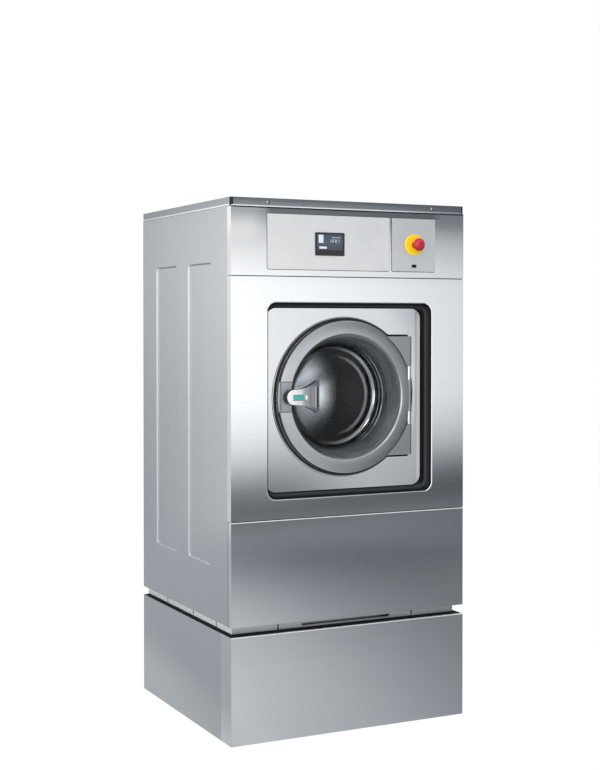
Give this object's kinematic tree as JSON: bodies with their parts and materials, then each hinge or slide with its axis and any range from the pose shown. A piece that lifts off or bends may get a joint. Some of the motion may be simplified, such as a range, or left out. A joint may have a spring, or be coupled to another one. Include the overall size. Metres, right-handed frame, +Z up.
{
  "type": "front-loading commercial washing machine on a plinth",
  "caption": "Stainless front-loading laundry machine with a round glass bowl door, lever handle, display panel and stop button, standing on a raised plinth.",
  "frame": {"origin": "on the floor under the middle of the plinth's footprint, at the centre of the four floor anchor holes", "axes": "+Z up, the door faces -Y, +X to the right of someone who faces the door"},
  "size_m": [0.704, 0.749, 1.4075],
  "materials": {
    "stainless": "fine straight brushing, satin",
    "wash_steel": "bright rolled sheet",
    "frame_steel": "dull zinc coat",
    "door_metal": "satin, fine grain",
    "handle_metal": "polished satin",
    "bright_metal": "polished",
    "cast_metal": "cast, painted grey",
    "black_plastic": "matt",
    "screen": "lit panel behind glass",
    "yellow_plastic": "smooth",
    "red_plastic": "smooth",
    "teal_plastic": "smooth",
    "black_rubber": "matt",
    "bowl_glass": "clear pressed glass",
    "motor_paint": "semi-matt",
    "grey_plastic": "matt",
    "blue_plastic": "matt",
    "disc_brass": "machined"
  },
  "bodies": {
    "cabinet": {"plinth_front": "stainless", "plinth_left": "stainless", "plinth_right": "stainless", "plinth_rear": "stainless", "base_front_rail": "stainless", "base_rails": "stainless", "left_side_panel": "stainless", "right_side_panel": "stainless", "rear_panel": "stainless", "front_panel": "stainless", "recess_pan": "stainless", "lower_front_panel": "stainless", "control_fascia": "stainless", "top_cover": "stainless", "display_plate": "stainless", "stop_plate": "stainless", "tub_shell": "wash_steel", "tub_front_plate": "wash_steel", "plinth_posts": "frame_steel", "base_deck": "frame_steel", "cabinet_frame": "frame_steel", "tub_cradles": "frame_steel", "hinge_brackets": "door_metal", "case_screws": "bright_metal", "door_bead": "bright_metal", "hinge_pins": "bright_metal", "shaft_bearings": "bright_metal", "bearing_housing": "cast_metal", "display_housing": "black_plastic", "data_socket": "black_plastic", "door_lock": "black_plastic", "mains_gland": "black_plastic", "stop_contacts": "black_plastic", "display_screen": "screen", "stop_collar": "yellow_plastic", "door_gasket": "black_rubber", "door_sleeve": "black_rubber", "shaft_seal": "black_rubber", "drive_belt": "black_rubber", "motor_body": "motor_paint", "drain_valve": "grey_plastic", "fill_pipe": "grey_plastic", "inlet_valves": "blue_plastic"},
    "door": {"door_ring": "door_metal", "door_glass": "bowl_glass", "glass_seal": "black_rubber", "handle_block": "handle_metal", "handle_pin": "bright_metal"},
    "handle": {"handle_lever": "handle_metal", "handle_label": "teal_plastic"},
    "stop_button": {"stop_stem": "red_plastic"},
    "stop_cap": {"stop_head": "red_plastic"},
    "drum": {"drum_shell": "wash_steel", "drum_front": "wash_steel", "drum_lifters": "wash_steel", "drum_spider": "cast_metal", "drum_pulley": "door_metal"},
    "motor_rotor": {"motor_pulley": "bright_metal"},
    "drain_flap": {"drain_disc": "disc_brass"},
    "latch_bolt": {"lock_bolt": "bright_metal"}
  },
  "joints": [
    {"name": "door_swing", "type": "hinge", "parent": "cabinet", "child": "door", "pos_m": [0.191, -0.2985, 0.8885], "axis": [0, 0, 1], "range_deg": [0, 120]},
    {"name": "lever_pull", "type": "hinge", "parent": "door", "child": "handle", "pos_m": [-0.1805, -0.321, 0.8925], "axis": [0, 0, -1], "range_deg": [0, 20], "stiffness_Nm_per_rad": 1, "springref_deg": -5.73},
    {"name": "stop_push", "type": "slide", "parent": "cabinet", "child": "stop_button", "axis": [0, 1, 0], "range_m": [0, 0.006], "stiffness_N_per_m": 800, "springref_m": -0.004},
    {"name": "stop_twist", "type": "hinge", "parent": "stop_button", "child": "stop_cap", "pos_m": [0.19, -0.355, 1.297], "axis": [0, 1, 0], "range_deg": [0, 45], "stiffness_Nm_per_rad": 0.05},
    {"name": "drum_spin", "type": "hinge", "parent": "cabinet", "child": "drum", "pos_m": [-0.003, 0.175, 0.8885], "axis": [0, 1, 0], "continuous": true},
    {"name": "motor_spin", "type": "hinge", "parent": "cabinet", "child": "motor_rotor", "pos_m": [0.11, 0.175, 0.43], "axis": [0, 1, 0], "continuous": true},
    {"name": "drain_turn", "type": "hinge", "parent": "cabinet", "child": "drain_flap", "pos_m": [-0.1, 0.015, 0.375], "axis": [0, 0, 1], "range_deg": [0, 90]},
    {"name": "bolt_slide", "type": "slide", "parent": "cabinet", "child": "latch_bolt", "axis": [1, 0, 0], "range_m": [0, 0.009]}
  ],
  "couplings": [
    {"joint": "motor_spin", "follows": "drum_spin", "ratio": 4.5714}
  ]
}
